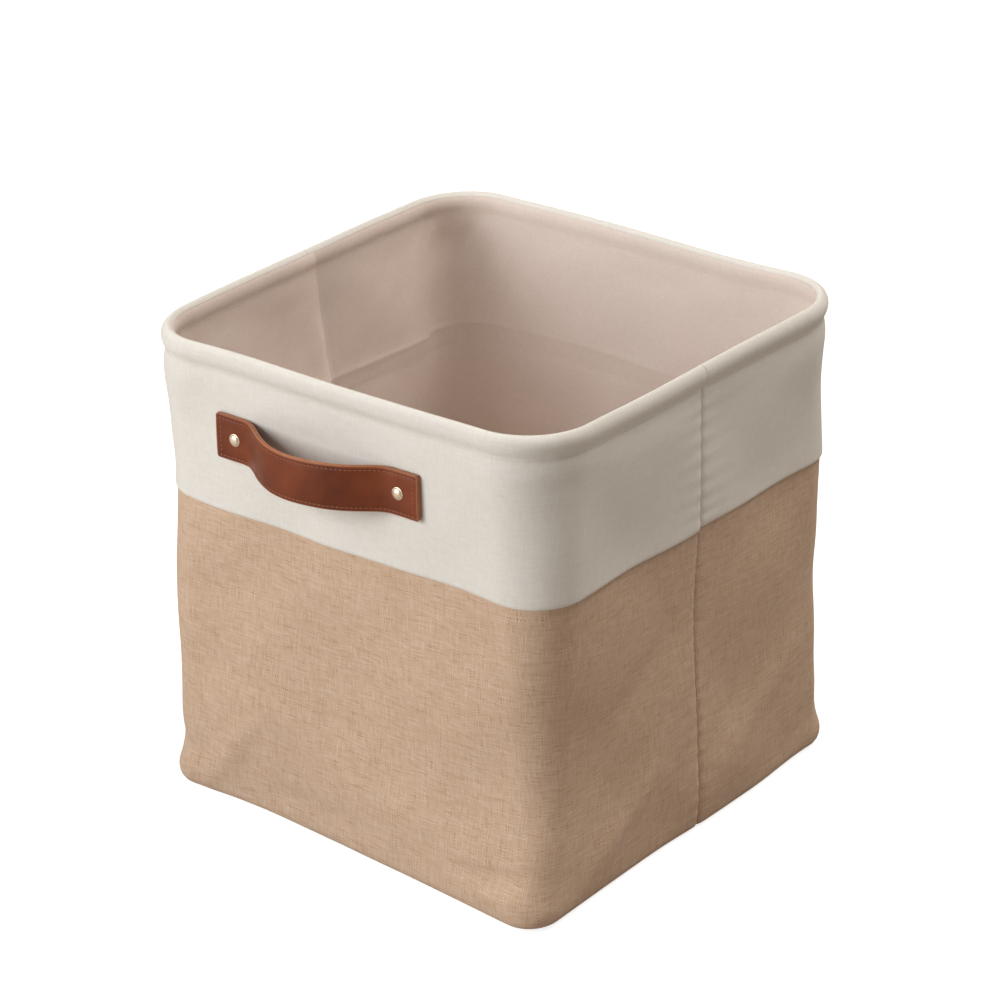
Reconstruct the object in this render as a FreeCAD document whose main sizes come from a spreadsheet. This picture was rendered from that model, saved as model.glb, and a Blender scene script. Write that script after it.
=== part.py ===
import FreeCAD, Part
import math
import os
import Sketcher

# A soft storage bin for folded textiles. Two cloth wraps, front and back, are joined by a seam
# down the middle of each side. Their upper part is cream cloth turned over a closed wire rim,
# their lower part is jute, and both are padded and lined. A riveted leather strap stands off
# the front wall and another off the back wall.
#
# Millimetres, +Z up, origin on the floor at the middle of the base, front wall towards -Y.
# The lower wall crumples when the rim is pushed down, so the wall is divided at band_edge.

# ---------------------------------------------------------------- driving dimensions
dimensions = {
    # the outside of the wall, which widens evenly from the floor to the rim
    "bin_height": 330,
    "base_width": 322,
    "base_depth": 316,
    "base_corner": 22,
    "rim_width": 332,
    "rim_depth": 326,
    "rim_corner": 47,
    "band_edge": 217,
    "seam_gap": 0.3,
    "layer_gap": 0.2,
    "collapse_gap": 0.5,
    # layers of the wall, each as its distance in from the outside
    "band_inner": 1.4,
    "jute_outer": 0.5,
    "jute_inner": 1.9,
    "padding_outer": 2.1,
    "padding_inner": 5.1,
    "lining_outer": 5.3,
    "lining_inner": 5.9,
    "facing_outer": 6.0,
    "facing_inner": 7.0,
    "facing_depth": 26,
    # the rolled rim: a wire in a sleeve of turned cloth
    "bead_radius": 4.6,
    "sleeve_inner": 2.7,
    "wire_radius": 2.0,
    "wire_inset": 2.1,
    "wall_top": 320.2,
    "ferrule_radius": 2.5,
    "ferrule_length": 28,
    # the bottom, from the floor up
    "bottom_cloth": 1.4,
    "bottom_padding_low": 1.6,
    "bottom_padding_thick": 3.0,
    "bottom_lining_low": 4.8,
    "bottom_lining_thick": 0.6,
    "wall_foot": 1.6,
    "lining_foot": 5.6,
    # the loose base insert: a board with cloth glued round it
    "insert_low": 5.8,
    "insert_width": 305,
    "insert_depth": 299,
    "insert_corner": 36,
    "insert_cloth": 0.6,
    "insert_board": 2.4,
    "insert_turning": 24,
    "pull_width": 26,
    "pull_length": 58,
    "pull_thick": 1.0,
    # the strap handles, in two leather layers sewn together
    "strap_height": 272.5,
    "strap_offset": 13,
    "strap_length": 165,
    "strap_width": 31,
    "strap_thick": 3.6,
    "strap_gap": 0.3,
    "bow_foot": 55,
    "bow_rise": 24.5,
    "bow_bend": 12,
    "grip_half": 36,
    "grip_gap": 0.3,
    # the rivets
    "rivet_spacing": 134,
    "rivet_head": 4.2,
    "rivet_dome": 1.9,
    "rivet_shank": 1.7,
    "rivet_hole": 1.8,
    "washer_radius": 5.0,
    "washer_thick": 0.7,
}

doc = FreeCAD.newDocument("storage_bin")
sheet = doc.addObject("Spreadsheet::Sheet", "dims")
for row, (alias, value) in enumerate(dimensions.items(), start=1):
    sheet.set(f"A{row}", alias)
    sheet.set(f"B{row}", str(value))
    sheet.setAlias(f"B{row}", alias)
doc.recompute()

parts = []


# ---------------------------------------------------------------- expressions
def outline_size(height, inset):
    """Width, depth and corner radius of the wall's outline at a height, moved in by inset."""

    def spread(low, high, sides):
        slope = f"(dims.{high} - dims.{low}) / dims.bin_height"
        return f"dims.{low} + {slope} * ({height}) - {sides} * ({inset})"

    return (
        spread("base_width", "rim_width", 2),
        spread("base_depth", "rim_depth", 2),
        spread("base_corner", "rim_corner", 1),
    )


WALL_RIVETS = ("-dims.strap_offset", "dims.strap_height")
STRAP_RIVETS = ("0", "0")
WIRE_HEIGHT = "dims.bin_height - dims.bead_radius"
WALL_FACE = outline_size("dims.strap_height", "0")[1]
STRAP_FACE = f"({WALL_FACE}) / 2 + dims.strap_gap"


# ---------------------------------------------------------------- sketches
def sketch_on(body, plane, name, lift="0"):
    """A sketch on one of the body's origin planes, lifted along that plane's normal."""
    sketch = body.newObject("Sketcher::SketchObject", name)
    role = plane + "_Plane"
    support = [item for item in body.Origin.OriginFeatures if item.Role == role][0]
    sketch.AttachmentSupport = (support, [""])
    sketch.MapMode = "FlatFace"
    sketch.setExpression("AttachmentOffset.Base.z", lift)
    return sketch


def name_size(sketch, index, name, expression):
    """Names one dimension of a sketch and binds it to the sheet."""
    sketch.renameConstraint(index, name)
    sketch.setExpression(f"Constraints.{name}", expression)


def rounded_rectangle(body, name, lift, width, depth, corner):
    """A rectangle with rounded corners about the body's axis, level with the floor."""
    sketch = sketch_on(body, "XY", name, lift)
    start, turn = 100, 20
    inner = start - turn
    up = FreeCAD.Vector(0, 0, 1)
    sides = []
    corners = []
    for step in range(4):
        angle = math.radians(90 * step)
        toward = FreeCAD.Vector(math.cos(angle), math.sin(angle), 0)
        along = FreeCAD.Vector(-math.sin(angle), math.cos(angle), 0)
        line = Part.LineSegment(toward * start - along * inner, toward * start + along * inner)
        sides.append(sketch.addGeometry(line, False))
        circle = Part.Circle((toward + along) * inner, up, turn)
        arc = Part.ArcOfCircle(circle, angle, angle + math.pi / 2)
        corners.append(sketch.addGeometry(arc, False))
    for step in range(4):
        following = sides[(step + 1) % 4]
        sketch.addConstraint(Sketcher.Constraint("Tangent", sides[step], 2, corners[step], 1))
        sketch.addConstraint(Sketcher.Constraint("Tangent", corners[step], 2, following, 1))
        direction = "Vertical" if step % 2 == 0 else "Horizontal"
        sketch.addConstraint(Sketcher.Constraint(direction, sides[step]))
    for step in range(1, 4):
        sketch.addConstraint(Sketcher.Constraint("Equal", corners[0], corners[step]))
    middle = (-1, 1)
    sketch.addConstraint(Sketcher.Constraint("Symmetric", corners[0], 3, corners[2], 3, *middle))
    radius = sketch.addConstraint(Sketcher.Constraint("Radius", corners[0], turn))
    across = Sketcher.Constraint("DistanceX", corners[1], 3, corners[0], 3, 2 * inner)
    along = Sketcher.Constraint("DistanceY", corners[2], 3, corners[1], 3, 2 * inner)
    across = sketch.addConstraint(across)
    along = sketch.addConstraint(along)
    name_size(sketch, radius, "corner", corner)
    name_size(sketch, across, "across", f"({width}) - 2 * ({corner})")
    name_size(sketch, along, "along", f"({depth}) - 2 * ({corner})")
    return sketch


def plain_rectangle(body, plane, name, lift, left, right, low, high):
    """A rectangle between four sizes, each given as an expression."""
    sketch = sketch_on(body, plane, name, lift)
    points = [(-10, -10), (10, -10), (10, 10), (-10, 10)]
    points = [FreeCAD.Vector(x, y, 0) for x, y in points]
    for step in range(4):
        sketch.addGeometry(Part.LineSegment(points[step], points[(step + 1) % 4]), False)
    for step in range(4):
        joint = Sketcher.Constraint("Coincident", step, 2, (step + 1) % 4, 1)
        sketch.addConstraint(joint)
        direction = "Horizontal" if step % 2 == 0 else "Vertical"
        sketch.addConstraint(Sketcher.Constraint(direction, step))
    places = [
        ("left", "DistanceX", 0, 1, left),
        ("right", "DistanceX", 1, 1, right),
        ("low", "DistanceY", 0, 1, low),
        ("high", "DistanceY", 2, 1, high),
    ]
    for label, kind, line, end, size in places:
        nominal = -10 if label in ("left", "low") else 10
        index = sketch.addConstraint(Sketcher.Constraint(kind, -1, 1, line, end, nominal))
        name_size(sketch, index, label, size)
    return sketch


def circles(body, plane, name, lift, centres, radii):
    """Circles of the given radii about each centre; all sizes are expressions."""
    sketch = sketch_on(body, plane, name, lift)
    up = FreeCAD.Vector(0, 0, 1)
    for number, (across, along) in enumerate(centres):
        for ring, radius in enumerate(radii):
            place = FreeCAD.Vector(10 * (number + 1), 10, 0)
            index = sketch.addGeometry(Part.Circle(place, up, ring + 1), False)
            tag = f"_{number}_{ring}"
            size = sketch.addConstraint(Sketcher.Constraint("Radius", index, ring + 1))
            over = Sketcher.Constraint("DistanceX", -1, 1, index, 3, place.x)
            over = sketch.addConstraint(over)
            rise = Sketcher.Constraint("DistanceY", -1, 1, index, 3, place.y)
            rise = sketch.addConstraint(rise)
            name_size(sketch, size, "radius" + tag, radius)
            name_size(sketch, over, "across" + tag, across)
            name_size(sketch, rise, "along" + tag, along)
    return sketch


def half_rim_path(body, name, start):
    """The rim's centre line round the front, from one side seam to the other."""
    width, depth, corner = outline_size(WIRE_HEIGHT, "dims.wire_inset")
    sketch = sketch_on(body, "XY", name, WIRE_HEIGHT)
    reach, turn, gap = 100, 20, 1
    inner = reach - turn
    up = FreeCAD.Vector(0, 0, 1)
    right = Part.LineSegment(
        FreeCAD.Vector(reach, -gap, 0), FreeCAD.Vector(reach, -inner, 0)
    )
    front = Part.LineSegment(
        FreeCAD.Vector(inner, -reach, 0), FreeCAD.Vector(-inner, -reach, 0)
    )
    left = Part.LineSegment(
        FreeCAD.Vector(-reach, -inner, 0), FreeCAD.Vector(-reach, -gap, 0)
    )
    right_circle = Part.Circle(FreeCAD.Vector(inner, -inner, 0), up, turn)
    left_circle = Part.Circle(FreeCAD.Vector(-inner, -inner, 0), up, turn)
    right_arc = Part.ArcOfCircle(right_circle, -math.pi / 2, 0)
    left_arc = Part.ArcOfCircle(left_circle, math.pi, 1.5 * math.pi)
    for piece in (right, right_arc, front, left_arc, left):
        sketch.addGeometry(piece, False)
    rules = [
        ("Tangent", 0, 2, 1, 2),
        ("Tangent", 1, 1, 2, 1),
        ("Tangent", 2, 2, 3, 2),
        ("Tangent", 3, 1, 4, 1),
        ("Vertical", 0),
        ("Horizontal", 2),
        ("Vertical", 4),
        ("Equal", 1, 3),
        ("Symmetric", 0, 1, 4, 2, -2),
    ]
    for rule in rules:
        sketch.addConstraint(Sketcher.Constraint(*rule))
    sizes = [
        ("corner", ("Radius", 1, turn), corner),
        ("side", ("DistanceX", -1, 1, 0, 1, reach), f"({width}) / 2"),
        ("start", ("DistanceY", 0, 1, -1, 1, gap), start),
        ("front", ("DistanceY", 2, 1, -1, 1, reach), f"({depth}) / 2"),
    ]
    for label, rule, size in sizes:
        index = sketch.addConstraint(Sketcher.Constraint(*rule))
        name_size(sketch, index, label, size)
    return sketch


# ---------------------------------------------------------------- features
def pad(body, sketch, name, length, reverse=False):
    feature = body.newObject("PartDesign::Pad", name)
    feature.Profile = sketch
    feature.Reversed = reverse
    feature.setExpression("Length", length)
    return feature


def pocket(body, sketch, name, length, reverse=False):
    feature = body.newObject("PartDesign::Pocket", name)
    feature.Profile = sketch
    feature.Reversed = reverse
    feature.setExpression("Length", length)
    return feature


def pocket_through(body, sketch, name):
    feature = body.newObject("PartDesign::Pocket", name)
    feature.Profile = sketch
    feature.Type = "ThroughAll"
    feature.SideType = "Symmetric"
    return feature


def wall_block(body, kind, name, bottom, top, inset):
    """Adds or removes all that lies within the wall's outline, moved in by inset."""
    low = rounded_rectangle(body, name + "_low", bottom, *outline_size(bottom, inset))
    high = rounded_rectangle(body, name + "_high", top, *outline_size(top, inset))
    feature = body.newObject(f"PartDesign::{kind}Loft", name)
    feature.Profile = low
    feature.Sections = [high]
    feature.Ruled = True
    return feature


def keep_front(body, name):
    """Cuts away the half behind the side seams."""
    beyond = "dims.base_width"
    size = ("0", "-" + beyond, beyond, "-dims.seam_gap / 2", beyond)
    sketch = plain_rectangle(body, "XY", name + "_area", *size)
    return pocket_through(body, sketch, name)


def rivet_centres(middle, rise):
    """The two rivets of a handle, about its middle, in the plane of the wall."""
    half = "dims.rivet_spacing / 2"
    return [(f"{middle} - {half}", rise), (f"{middle} + {half}", rise)]


def bore_for_shanks(body, centres):
    """Holes for the two rivets, straight through along the body's Y axis."""
    holes = circles(body, "XZ", "shank_holes", "0", centres, ["dims.rivet_hole"])
    return pocket_through(body, holes, "bore_shanks")


def finish(item, label):
    """Labels one sub-part and lists it for writing."""
    item.Label = label
    parts.append(item)
    return item


def new_body(name):
    return doc.addObject("PartDesign::Body", name)


def place_wrap(item, side):
    """The back wrap is the front one, turned half round."""
    turn = 0 if side == "front" else 180
    item.Placement = FreeCAD.Placement(
        FreeCAD.Vector(0, 0, 0), FreeCAD.Rotation(FreeCAD.Vector(0, 0, 1), turn)
    )


# ---------------------------------------------------------------- the wraps
def wall_shell(side, name, bottom, top, outer, inner):
    """One layer of one wrap, between two heights."""
    body = new_body(f"{name}_{side}")
    wall_block(body, "Additive", "outside", bottom, top, outer)
    wall_block(body, "Subtractive", "inside", bottom, top, inner)
    keep_front(body, "cut_at_seams")
    return body


def lower_layer(side, name, bottom, outer, inner):
    """A layer of the part of the wall that crumples."""
    top = "dims.band_edge - dims.collapse_gap"
    body = wall_shell(side, name, bottom, top, outer, inner)
    place_wrap(body, side)
    finish(body, f"{name}_{side}")


def upper_padding(side):
    """Foam behind the cream band, bored for the rivets and recessed for their washers."""
    body = wall_shell(
        side,
        "upper_padding",
        "dims.band_edge",
        "dims.wall_top",
        "dims.padding_outer",
        "dims.padding_inner",
    )
    centres = rivet_centres(*WALL_RIVETS)
    bore_for_shanks(body, centres)
    depth = f"({WALL_FACE}) / 2 - dims.padding_inner"
    radius = "dims.washer_radius + dims.rivet_hole - dims.rivet_shank"
    seats = circles(body, "XZ", "washer_seats", depth, centres, [radius])
    pocket(body, seats, "recess_washers", "dims.washer_thick + dims.strap_gap", reverse=True)
    place_wrap(body, side)
    finish(body, f"upper_padding_{side}")


def cream_band(side):
    """Cream cloth outside the wall, turned over the rim wire and down inside as a facing."""
    body = wall_shell(
        side,
        "cream_band",
        "dims.band_edge",
        f"{WIRE_HEIGHT} - dims.sleeve_inner - dims.layer_gap",
        "0",
        "dims.band_inner",
    )
    bore_for_shanks(body, rivet_centres(*WALL_RIVETS))
    facing_low = "dims.bin_height - dims.facing_depth"
    wall_block(body, "Additive", "facing", facing_low, WIRE_HEIGHT, "dims.facing_outer")
    wall_block(body, "Subtractive", "mouth", facing_low, WIRE_HEIGHT, "dims.facing_inner")
    keep_front(body, "cut_facing")
    start = "dims.seam_gap / 2"
    width = outline_size(WIRE_HEIGHT, "dims.wire_inset")[0]
    ring = circles(
        body,
        "XZ",
        "sleeve_section",
        start,
        [(f"({width}) / 2", WIRE_HEIGHT)],
        ["dims.sleeve_inner", "dims.bead_radius"],
    )
    sleeve = body.newObject("PartDesign::AdditivePipe", "sleeve")
    sleeve.Profile = ring
    sleeve.Spine = half_rim_path(body, "sleeve_path", start)
    place_wrap(body, side)
    finish(body, f"cream_band_{side}")


def upper_lining(side):
    body = wall_shell(
        side,
        "upper_lining",
        "dims.band_edge",
        "dims.wall_top",
        "dims.lining_outer",
        "dims.lining_inner",
    )
    place_wrap(body, side)
    finish(body, f"upper_lining_{side}")


for side in ("front", "back"):
    lower_layer(side, "lower_jute", "dims.wall_foot", "dims.jute_outer", "dims.jute_inner")
    lower_layer(
        side, "lower_padding", "dims.wall_foot", "dims.padding_outer", "dims.padding_inner"
    )
    lower_layer(
        side, "lower_lining", "dims.lining_foot", "dims.lining_outer", "dims.lining_inner"
    )
    cream_band(side)
    upper_padding(side)
    upper_lining(side)


# ---------------------------------------------------------------- the rim wire
def rim_wire():
    """One closed loop of spring steel wire; its two ends meet in the ferrule."""
    body = new_body("rim_wire")
    width = outline_size(WIRE_HEIGHT, "dims.wire_inset")[0]
    centre = [(f"({width}) / 2", WIRE_HEIGHT)]
    section = circles(body, "XZ", "wire_section", "0", centre, ["dims.wire_radius"])
    sweep = body.newObject("PartDesign::AdditivePipe", "front_half")
    sweep.Profile = section
    sweep.Spine = half_rim_path(body, "wire_path", "0")
    axis = [item for item in body.Origin.OriginFeatures if item.Role == "Z_Axis"][0]
    whole = body.newObject("PartDesign::PolarPattern", "both_halves")
    whole.Originals = [sweep]
    whole.Axis = (axis, [""])
    whole.Angle = 360
    whole.Occurrences = 2
    body.Tip = whole
    finish(body, "rim_wire")


def wire_ferrule():
    """A crimped tube over the wire's two ends, at the middle of the back."""
    body = new_body("wire_ferrule")
    depth = outline_size(WIRE_HEIGHT, "dims.wire_inset")[1]
    centre = [(f"({depth}) / 2", WIRE_HEIGHT)]
    radii = ["dims.wire_radius", "dims.ferrule_radius"]
    lift = "-dims.ferrule_length / 2"
    section = circles(body, "YZ", "tube_section", lift, centre, radii)
    pad(body, section, "tube", "dims.ferrule_length")
    finish(body, "wire_ferrule")


rim_wire()
wire_ferrule()


# ---------------------------------------------------------------- the bottom
def bottom_layer(name, low, thick, inset):
    body = new_body(name)
    sketch = rounded_rectangle(body, "outline", low, *outline_size(low, inset))
    pad(body, sketch, "sheet", thick)
    finish(body, name)


bottom_layer("bottom_jute", "0", "dims.bottom_cloth", "dims.jute_outer")
bottom_layer(
    "bottom_padding",
    "dims.bottom_padding_low",
    "dims.bottom_padding_thick",
    "dims.padding_inner + dims.layer_gap",
)
bottom_layer(
    "bottom_lining",
    "dims.bottom_lining_low",
    "dims.bottom_lining_thick",
    "dims.padding_inner + dims.layer_gap",
)


# ---------------------------------------------------------------- the base insert
def insert_outline(body, name, lift, inset):
    return rounded_rectangle(
        body,
        name,
        lift,
        f"dims.insert_width - 2 * ({inset})",
        f"dims.insert_depth - 2 * ({inset})",
        f"dims.insert_corner - ({inset})",
    )


BOARD_LOW = "dims.insert_low + dims.insert_cloth"
INSERT_THICK = "dims.insert_board + 2 * dims.insert_cloth"


def insert_board():
    body = new_body("insert_board")
    outline = insert_outline(body, "outline", BOARD_LOW, "dims.insert_cloth")
    pad(body, outline, "board", "dims.insert_board")
    finish(body, "insert_board")


def insert_cover():
    """Cloth over the board's top and edges, turned under all round."""
    body = new_body("insert_cover")
    whole = insert_outline(body, "outline", "dims.insert_low", "0")
    pad(body, whole, "cloth", INSERT_THICK)
    opening = insert_outline(body, "opening", "dims.insert_low", "dims.insert_turning")
    pocket(body, opening, "open_underside", "dims.insert_cloth", reverse=True)
    board = insert_outline(body, "board_outline", BOARD_LOW, "dims.insert_cloth")
    pocket(body, board, "board_space", "dims.insert_board", reverse=True)
    finish(body, "insert_cover")


def insert_pull():
    """A ribbon sewn to the cover near its front edge, to lift the insert by."""
    body = new_body("insert_pull")
    lift = f"dims.insert_low + {INSERT_THICK} + dims.layer_gap"
    size = ("dims.pull_length", "dims.pull_width", "dims.pull_width / 4")
    outline = rounded_rectangle(body, "outline", lift, *size)
    outline.setExpression(
        "AttachmentOffset.Base.y", "-dims.insert_depth / 2 + dims.pull_width"
    )
    pad(body, outline, "ribbon", "dims.pull_thick")
    finish(body, "insert_pull")


insert_board()
insert_cover()
insert_pull()


# ---------------------------------------------------------------- the handles
def bow_path(body, name):
    """The strap's centre line seen from above: two flat ends, two bends and a round bow."""
    sketch = sketch_on(body, "XY", name)
    half, foot, rise, bend = [
        dimensions[key] for key in ("strap_length", "bow_foot", "bow_rise", "bow_bend")
    ]
    half = half / 2
    level = dimensions["strap_thick"] / 2
    crown = (foot**2 + rise**2) / (2 * rise) - bend
    swing = math.asin(foot / (bend + crown))
    up = FreeCAD.Vector(0, 0, 1)
    crown_circle = Part.Circle(FreeCAD.Vector(0, level + rise - crown, 0), up, crown)
    left_circle = Part.Circle(FreeCAD.Vector(-foot, level + bend, 0), up, bend)
    right_circle = Part.Circle(FreeCAD.Vector(foot, level + bend, 0), up, bend)
    left = Part.LineSegment(
        FreeCAD.Vector(-half, level, 0), FreeCAD.Vector(-foot, level, 0)
    )
    right = Part.LineSegment(
        FreeCAD.Vector(foot, level, 0), FreeCAD.Vector(half, level, 0)
    )
    down = -math.pi / 2
    pieces = [
        left,
        Part.ArcOfCircle(left_circle, down, down + swing),
        Part.ArcOfCircle(crown_circle, -down - swing, -down + swing),
        Part.ArcOfCircle(right_circle, down - swing, down),
        right,
    ]
    for piece in pieces:
        sketch.addGeometry(piece, False)
    rules = [
        ("Tangent", 0, 2, 1, 1),
        ("Tangent", 1, 2, 2, 2),
        ("Tangent", 2, 1, 3, 1),
        ("Tangent", 3, 2, 4, 1),
        ("Horizontal", 0),
        ("Horizontal", 4),
        ("Equal", 1, 3),
        ("PointOnObject", 2, 3, -2),
        ("Symmetric", 0, 1, 4, 2, -2),
    ]
    for rule in rules:
        sketch.addConstraint(Sketcher.Constraint(*rule))
    sizes = [
        ("bend", ("Radius", 1, bend), "dims.bow_bend"),
        (
            "crown",
            ("Radius", 2, crown),
            "(dims.bow_foot ^ 2 + dims.bow_rise ^ 2) / (2 * dims.bow_rise) - dims.bow_bend",
        ),
        ("half", ("DistanceX", 0, 1, -1, 1, half), "dims.strap_length / 2"),
        ("level", ("DistanceY", -1, 1, 0, 1, level), "dims.strap_thick / 2"),
        ("foot", ("DistanceX", 0, 2, -1, 1, foot), "dims.bow_foot"),
    ]
    for label, rule, size in sizes:
        index = sketch.addConstraint(Sketcher.Constraint(*rule))
        name_size(sketch, index, label, size)
    return sketch


def whole_strap(side):
    """The strap before it is divided at the points where it starts to swing."""
    body = new_body(f"{side}_strap")
    section = plain_rectangle(
        body,
        "YZ",
        "section",
        "-dims.strap_length / 2",
        "0",
        "dims.strap_thick",
        "-dims.strap_width / 2",
        "dims.strap_width / 2",
    )
    sweep = body.newObject("PartDesign::AdditivePipe", "strap")
    sweep.Profile = section
    sweep.Spine = bow_path(body, "centre_line")
    bore_for_shanks(body, rivet_centres(*STRAP_RIVETS))
    return body


def handle_place(item, side, across, out, turn=None):
    """Puts an item at the middle of a handle; across runs along the wall and out leaves it."""
    outward = "-" if side == "front" else ""
    offset = "-dims.strap_offset" if side == "front" else "dims.strap_offset"
    item.setExpression("Placement.Base.x", f"{offset} + {across}")
    item.setExpression("Placement.Base.y", f"{outward}({out})")
    item.setExpression("Placement.Base.z", "dims.strap_height")
    if turn:
        item.Placement = FreeCAD.Placement(
            item.Placement.Base, FreeCAD.Rotation(FreeCAD.Vector(*turn[0]), turn[1])
        )


def strap_piece(side, strap, name, left, right):
    """The length of a strap between two distances from its middle."""
    room = doc.addObject("Part::Box", f"{side}_{name}_room")
    reach = "(dims.bow_rise + 4 * dims.strap_thick)"
    room.setExpression("Length", f"({right}) - ({left})")
    room.setExpression("Width", f"2 * {reach}")
    room.setExpression("Height", "2 * dims.strap_width")
    room.setExpression("Placement.Base.x", left)
    room.setExpression("Placement.Base.y", f"-{reach}")
    room.setExpression("Placement.Base.z", "-dims.strap_width")
    piece = doc.addObject("Part::Common", f"{side}_{name}")
    piece.Base = strap
    piece.Tool = room
    turn = ((0, 0, 1), 180 if side == "front" else 0)
    handle_place(piece, side, "0", STRAP_FACE, turn)
    finish(piece, f"{side}_{name}")


def round_piece(kind, name, side, across, out, sizes):
    """A sphere or cylinder on a rivet's axis, pointing out of the wall."""
    item = doc.addObject(f"Part::{kind}", name)
    for size, expression in sizes.items():
        item.setExpression(size, expression)
    handle_place(item, side, across, out, ((1, 0, 0), 90 if side == "front" else -90))
    return item


def rivets(side):
    """Two domed rivets, each with its shank and the washer it is set against."""
    sphere = "((dims.rivet_head ^ 2 + dims.rivet_dome ^ 2) / (2 * dims.rivet_dome))"
    strap_top = f"{STRAP_FACE} + dims.strap_thick"
    washer_low = f"({WALL_FACE}) / 2 - dims.padding_inner + dims.layer_gap / 2"
    heads = []
    shanks = []
    washers = []
    for number, sign in enumerate(("-", "")):
        across = f"{sign}dims.rivet_spacing / 2"
        heads.append(
            round_piece(
                "Sphere",
                f"{side}_head_{number}",
                side,
                across,
                f"{strap_top} + dims.rivet_dome - {sphere} + dims.layer_gap / 4",
                {
                    "Radius": sphere,
                    "Angle1": f"asin(1 - dims.rivet_dome / {sphere})",
                },
            )
        )
        shanks.append(
            round_piece(
                "Cylinder",
                f"{side}_shank_{number}",
                side,
                across,
                washer_low,
                {
                    "Radius": "dims.rivet_shank",
                    "Height": f"{strap_top} - ({washer_low})",
                },
            )
        )
        disc = round_piece(
            "Cylinder",
            f"{side}_disc_{number}",
            side,
            across,
            washer_low,
            {"Radius": "dims.washer_radius", "Height": "dims.washer_thick"},
        )
        hole = round_piece(
            "Cylinder",
            f"{side}_disc_hole_{number}",
            side,
            across,
            f"{washer_low} - dims.washer_thick",
            {"Radius": "dims.rivet_hole", "Height": "3 * dims.washer_thick"},
        )
        washer = doc.addObject("Part::Cut", f"{side}_washer_{number}")
        washer.Base = disc
        washer.Tool = hole
        washers.append(washer)
    for name, pieces in (("heads", heads), ("shanks", shanks), ("washers", washers)):
        group = doc.addObject("Part::Compound", f"{side}_rivet_{name}")
        group.Links = pieces
        finish(group, f"{side}_rivet_{name}")


for side in ("front", "back"):
    strap = whole_strap(side)
    half = "dims.grip_half"
    end = "dims.strap_length / 2 + 1"
    strap_piece(side, strap, "grip", f"-{half}", half)
    strap_piece(side, strap, "tab_a", f"{half} + dims.grip_gap", end)
    strap_piece(side, strap, "tab_b", f"-({end})", f"-{half} - dims.grip_gap")
    rivets(side)

# ---------------------------------------------------------------- checks and files
doc.recompute()
for item in doc.Objects:
    if "Invalid" in item.State or "Error" in item.State:
        raise RuntimeError(f"{item.Label} failed: {item.State}")
for item in parts:
    if item.Shape.isNull() or not item.Shape.isValid() or not item.Shape.Solids:
        raise RuntimeError(f"{item.Label} has no valid solid")

os.makedirs("parts", exist_ok=True)
for item in parts:
    item.Shape.exportStep(f"parts/{item.Label}.step")
    print(f"{item.Label}: {len(item.Shape.Solids)} solid, {item.Shape.Volume / 1000:.2f} cm3")
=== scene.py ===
import math
import bmesh
import bpy
import numpy as np
from mathutils import Matrix, Vector


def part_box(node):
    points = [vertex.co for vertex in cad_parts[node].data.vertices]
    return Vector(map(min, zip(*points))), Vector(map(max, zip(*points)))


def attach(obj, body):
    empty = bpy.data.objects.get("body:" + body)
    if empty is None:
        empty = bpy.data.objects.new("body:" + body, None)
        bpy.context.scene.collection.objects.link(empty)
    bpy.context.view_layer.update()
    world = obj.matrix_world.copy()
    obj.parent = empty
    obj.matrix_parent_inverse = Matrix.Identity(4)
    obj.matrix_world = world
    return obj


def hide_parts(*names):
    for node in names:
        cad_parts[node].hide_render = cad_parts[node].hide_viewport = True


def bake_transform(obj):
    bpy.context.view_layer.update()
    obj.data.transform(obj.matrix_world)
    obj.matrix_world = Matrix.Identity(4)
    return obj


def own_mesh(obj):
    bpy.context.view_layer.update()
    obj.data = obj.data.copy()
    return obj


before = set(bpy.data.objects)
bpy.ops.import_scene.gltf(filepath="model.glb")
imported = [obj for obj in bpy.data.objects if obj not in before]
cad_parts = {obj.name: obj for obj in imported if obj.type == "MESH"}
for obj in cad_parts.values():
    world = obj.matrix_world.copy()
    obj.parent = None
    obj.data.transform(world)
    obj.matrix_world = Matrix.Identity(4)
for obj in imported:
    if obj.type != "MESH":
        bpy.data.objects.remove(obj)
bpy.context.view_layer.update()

# -------------------- where it stands
# The bin stands on a wide sheet of pale paper. One large soft lamp is at the front left, and
# another hangs high behind. The camera looks down on the corner between the front and a side.
scene = bpy.context.scene
scene.view_settings.view_transform = "Standard"


def add_node(tree, kind, inputs=None, **settings):
    """A node with its settings, whose inputs are values or the sockets that feed them."""
    made = tree.nodes.new(kind)
    for key, value in settings.items():
        setattr(made, key, value)
    for key, value in (inputs or {}).items():
        if isinstance(value, bpy.types.NodeSocket):
            tree.links.new(value, made.inputs[key])
        else:
            made.inputs[key].default_value = value
    return made


def srgb(red, green, blue):
    """A colour named on the usual 0 to 255 scale, as the linear colour that a shader takes."""
    linear = []
    for part in (red / 255, green / 255, blue / 255):
        linear.append(part / 12.92 if part <= 0.04045 else ((part + 0.055) / 1.055) ** 2.4)
    return (*linear, 1.0)


def new_material(name):
    """A material's tree, cleared down to its output."""
    material = bpy.data.materials.new(name)
    material.use_nodes = True
    tree = material.node_tree
    for item in list(tree.nodes):
        if item.type != "OUTPUT_MATERIAL":
            tree.nodes.remove(item)
    return material, tree


def finish_surface(tree, inputs):
    """A Principled shader with these inputs, joined to the material's output."""
    shader = add_node(tree, "ShaderNodeBsdfPrincipled", inputs)
    output = next(n for n in tree.nodes if n.type == "OUTPUT_MATERIAL")
    tree.links.new(shader.outputs[0], output.inputs["Surface"])


def maths(tree, operation, *values):
    """The result of one Math node."""
    made = add_node(tree, "ShaderNodeMath", dict(enumerate(values)), operation=operation)
    return made.outputs[0]


def object_place(tree):
    """Object coordinates, in which a pattern lies still on its piece."""
    return add_node(tree, "ShaderNodeTexCoord").outputs["Object"]


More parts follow.
